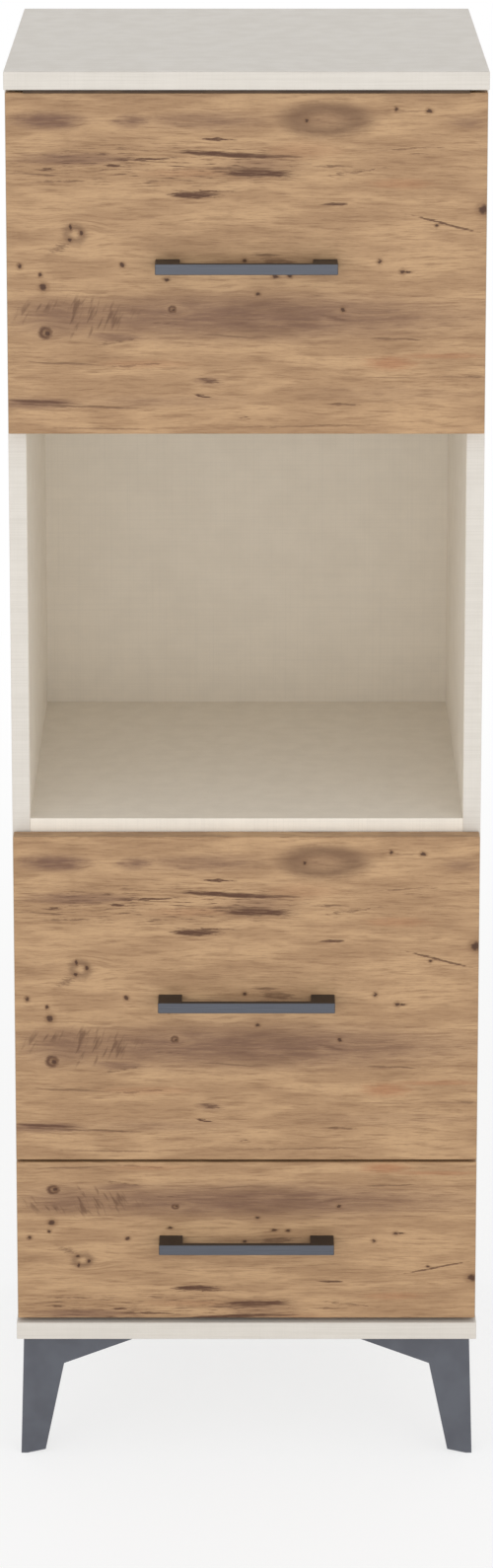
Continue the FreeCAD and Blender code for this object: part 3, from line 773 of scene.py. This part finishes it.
RAIL_STEEL = 1.2
RAIL_SCREW_FROM_FRONT = 37.0
RAIL_SCREW_FROM_REAR = 75.0
for drawer in DRAWERS:
    rail_low, rail_high = corner_box(drawer + "_cabinet_rails")
    rail_z = (rail_low.z + rail_high.z) / 2
    rail_screw_y = (rail_low.y + RAIL_SCREW_FROM_FRONT, rail_high.y - RAIL_SCREW_FROM_REAR)
    cabinet_rail_x = rail_high.x - RAIL_STEEL
    box_rail_x = corner_box(drawer + "_side_right")[1].x + RAIL_STEEL
    set_out(drawer + "_cabinet_rail_screws", wood_screw,
            pairs([(cabinet_rail_x, y, rail_z) for y in rail_screw_y], INWARD),
            "carcass")
    set_out(drawer + "_box_rail_screws", wood_screw,
            pairs([(box_rail_x, y, rail_z) for y in rail_screw_y], OUTWARD),
            drawer)

BRACKET_STEEL = 2.0
BRACKET_SCREW_RISE = 13.5
FLAP_BRACKET_SCREW_RISE = 13.0
FLAP_BRACKET_SCREW_INSET = 13.5
pivot_y, pivot_z = STRUT_PIVOT
set_out("cabinet_bracket_screws", wood_screw,
        pairs([(side_low.x - BRACKET_STEEL, pivot_y, pivot_z + rise)
               for rise in (-BRACKET_SCREW_RISE, BRACKET_SCREW_RISE)], INWARD),
        "carcass")
flap_bracket_x = corner_box("strut_brackets_flap")[1].x - FLAP_BRACKET_SCREW_INSET
set_out("flap_bracket_screws", wood_screw,
        pairs([(flap_bracket_x, flap_high.y + BRACKET_STEEL, FLAP_STUD[1] + rise)
               for rise in (-FLAP_BRACKET_SCREW_RISE, FLAP_BRACKET_SCREW_RISE)], BACKWARD),
        "flap")

LEAF_STEEL = 1.0
LEAF_SCREW_SETBACK = 6.7
LEAF_SCREW_SPACING = 100.0
# The leaf screws share the hinge's dark brown painted shade.
leaf_screw = screw(head_radius=2.8, head_height=0.5, shank_radius=1.2, shank_length=12.0,
                   material=hinge_shadow_brown)
leaf_screw_y = corner_box("hinge_leaf_flap")[1].y - LEAF_SCREW_SETBACK
set_out("cabinet_leaf_screws", leaf_screw,
        [((step * LEAF_SCREW_SPACING, leaf_screw_y, side_high.z - LEAF_STEEL), DOWN)
         for step in (-2, -1, 0, 1, 2)], "carcass")
set_out("flap_leaf_screws", leaf_screw,
        [((step * LEAF_SCREW_SPACING, leaf_screw_y, flap_high.z + LEAF_STEEL), UP)
         for step in (-1.5, -0.5, 0.5, 1.5)], "flap")

# Drawer screws: through the inner front into the front, clear of the handle, and through the
# sides into the inner front and the back, clear of the rails
FRONT_SCREW_X = 160.0
FRONT_SCREW_Z = {"shallow_drawer": (205.0, 285.0), "deep_drawer": (400.0, 545.0)}
SIDE_SCREW_Z = {"shallow_drawer": (262.0, 288.0), "deep_drawer": (455.0, 560.0)}
front_screw = screw(head_radius=4.0, head_height=1.6, shank_radius=2.0, shank_length=24.0,
                    material=screw_zinc)
side_screw = screw(head_radius=3.6, head_height=0.4, shank_radius=2.4, shank_length=30.0,
                   material=screw_zinc)
for drawer in DRAWERS:
    inner_face_y = corner_box(drawer + "_inner_front")[1].y
    corner_y = (middle_of(drawer + "_inner_front").y, middle_of(drawer + "_back").y)
    outer_x = corner_box(drawer + "_side_right")[1].x
    set_out(drawer + "_front_screws", front_screw,
            pairs([(FRONT_SCREW_X, inner_face_y, z) for z in FRONT_SCREW_Z[drawer]], BACKWARD),
            drawer)
    set_out(drawer + "_side_screws", side_screw,
            pairs([(outer_x, y, z) for y in corner_y for z in SIDE_SCREW_Z[drawer]], OUTWARD),
            drawer)

HANDLE_SCREW_X = 80.0
HANDLE_SCREW_HEAD = 2.4
for front in ("flap", "deep_drawer", "shallow_drawer"):
    low, high = corner_box(front + "_handle_screws")
    head_seat = high.y - HANDLE_SCREW_HEAD
    long_screw = screw(head_radius=4.0, head_height=HANDLE_SCREW_HEAD, shank_radius=2.0,
                       shank_length=head_seat - low.y, material=screw_zinc)
    handle_places = pairs([(HANDLE_SCREW_X, head_seat, (low.z + high.z) / 2)], BACKWARD)
    machine_screws = set_out(front + "_machine_screws", long_screw, handle_places,
                             front)
    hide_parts(front + "_handle_screws")
    bpy.data.objects.remove(long_screw)

CAM_SETBACK = 34.0
CAM_FROM_END = 50.0
cam = cam_disc(radius=7.5, depth=12.5, material=casting)
shelf_low, shelf_high = corner_box("niche_shelf")
cam_y = (shelf_low.y + CAM_FROM_END, shelf_high.y - CAM_FROM_END)
shelf_undersides = (shelf_low.z, corner_box("upper_shelf")[0].z)
side_ends = (side_low.z + CAM_SETBACK, side_high.z - CAM_SETBACK)
cam_places = pairs([(side_low.x - CAM_SETBACK, y, z) for y in cam_y for z in shelf_undersides],
                   DOWN)
cam_places += pairs([(side_low.x, y, z) for y in cam_y for z in side_ends], INWARD)
cam_discs = set_out("cam_discs", cam, cam_places, "carcass")
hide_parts("cam_locks")

# Nails through the back panel, up along the side panels and across along the other boards
NAIL_INSET = 4.3
FIRST_NAIL_Z = 200.0
NAIL_SPACING = 131.0
NAILS_UP_A_SIDE = 11
NAIL_COLUMNS = (-160.0, 0.0, 160.0)
back_nail = screw(head_radius=2.2, head_height=0.2, shank_radius=0.8, shank_length=20.0,
                  material=screw_zinc)
back_low, back_high = corner_box("back_panel")
nail_rows = (back_low.z + NAIL_INSET, middle_of("niche_shelf").z, middle_of("upper_shelf").z,
             back_high.z - NAIL_INSET)
nail_places = pairs([(back_high.x - NAIL_INSET, back_high.y, FIRST_NAIL_Z + step * NAIL_SPACING)
                     for step in range(NAILS_UP_A_SIDE)], BACKWARD)
nail_places += [((x, back_high.y, z), BACKWARD) for z in nail_rows for x in NAIL_COLUMNS]
set_out("back_panel_nails", back_nail, nail_places, "carcass")

# A collar wraps each tube's lower end; low and high are distances from the tube's pivot
collar_plastic = grained("collar_plastic", colour(36, 36, 38), colour(44, 44, 46),
                         metallic=0.0, roughness=0.45, grain=0.6, depth=0.02)
collar = strut_collar(inner_radius=7.55, outer_radius=8.0, low=116.5, high=121.3,
                      material=collar_plastic)
along_strut = (0.0, FLAP_STUD[0] - pivot_y, FLAP_STUD[1] - pivot_z)
strut_x = middle_of("strut_tube_right").x
set_out("strut_tube_collars", collar,
        [((side * strut_x, pivot_y, pivot_z), along_strut) for side in (1.0, -1.0)],
        "strut_tubes")
for pattern in (wood_screw, leaf_screw, front_screw, side_screw, cam, back_nail, collar):
    bpy.data.objects.remove(pattern)


# ---------------------------------------------------------------------------
# Floor, light and camera
# ---------------------------------------------------------------------------
WHITE = (1.0, 1.0, 1.0, 1.0)
FLOOR_GREY = (0.92, 0.92, 0.92, 1.0)
FLOOR_SIZE = 14.0
FLOOR_GLOW = 0.72
GLOW_GROWS = (0.8, 3.0)
ROOM_LIGHT = 0.82


def floor():
    """A pale floor with the cabinet's shadow on it; further away it fades to plain white."""
    bpy.ops.object.select_all(action="DESELECT")
    bpy.ops.mesh.primitive_plane_add(size=FLOOR_SIZE, location=(0.0, 0.0, 0.0))
    plane = bpy.context.object
    plane.name = "floor"
    material = bpy.data.materials.new("floor_white")
    material.use_nodes = True
    material.node_tree.nodes.clear()
    shades = Nodes(material.node_tree)
    ground = shades.node("BsdfDiffuse", {}, {"Color": FLOOR_GREY})
    glow = shades.node("Emission", {}, {"Color": WHITE})
    metres = shades.node("TexCoord", {}, {}, "Object")
    away = shades.node("VectorMath", {"operation": "LENGTH"}, {0: metres}, "Value")
    share = shades.seen_directly() * shades.step(away, *GLOW_GROWS, FLOOR_GLOW, 1.0)
    surface = shades.node("MixShader", {}, {0: share, 1: ground, 2: glow})
    shades.node("OutputMaterial", {}, {"Surface": surface})
    plane.data.materials.append(material)


def world():
    """An even pale room that lights the cabinet softly and looks white itself."""
    room = bpy.data.worlds.new("studio")
    room.use_nodes = True
    room.node_tree.nodes.clear()
    shades = Nodes(room.node_tree)
    strength = shades.seen_directly() * (1.0 - ROOM_LIGHT) + ROOM_LIGHT
    back = shades.node("Background", {}, {"Color": WHITE, "Strength": strength})
    shades.node("OutputWorld", {}, {"Surface": back})
    bpy.context.scene.world = room


LAMP_TARGET = (0.0, 0.0, 0.4)
LAMP_WIDTH = 2.4


def lamp(name, place, height, watts):
    """A soft rectangular lamp at place that points at the lower half of the cabinet."""
    data = bpy.data.lights.new(name, "AREA")
    data.shape = "RECTANGLE"
    data.size = LAMP_WIDTH
    data.size_y = height
    data.energy = watts
    made = bpy.data.objects.new(name, data)
    bpy.context.scene.collection.objects.link(made)
    made.location = place
    aim = Vector(LAMP_TARGET) - Vector(place)
    made.rotation_euler = aim.to_track_quat("-Z", "Y").to_euler()


floor()
world()
lamp("left_lamp", (-2.6, -3.6, 1.0), height=1.8, watts=26.0)
lamp("right_lamp", (2.6, -3.6, 1.0), height=1.8, watts=26.0)
lamp("front_lamp", (0.0, -4.0, 0.9), height=1.6, watts=12.0)

# The focus is in pixels of the 1589-pixel-high picture, the pitch in degrees below level
CAMERA_DISTANCE = 4.714
CAMERA_HEIGHT = 2.25
CAMERA_PITCH = 11.4
CAMERA_FOCUS = 4499.0
CAMERA_SHIFT = -0.34
PICTURE_HEIGHT = 1589.0
SENSOR = 36.0
camera_data = bpy.data.cameras.new("camera")
camera_data.sensor_width = SENSOR
camera_data.lens = CAMERA_FOCUS * SENSOR / PICTURE_HEIGHT
camera_data.shift_y = CAMERA_SHIFT
camera = bpy.data.objects.new("camera", camera_data)
camera.location = (0.0, -CAMERA_DISTANCE, CAMERA_HEIGHT)
camera.rotation_euler = (math.radians(90.0 - CAMERA_PITCH), 0.0, 0.0)
bpy.context.scene.collection.objects.link(camera)
bpy.context.scene.camera = camera
bpy.context.scene.view_settings.view_transform = "Standard"
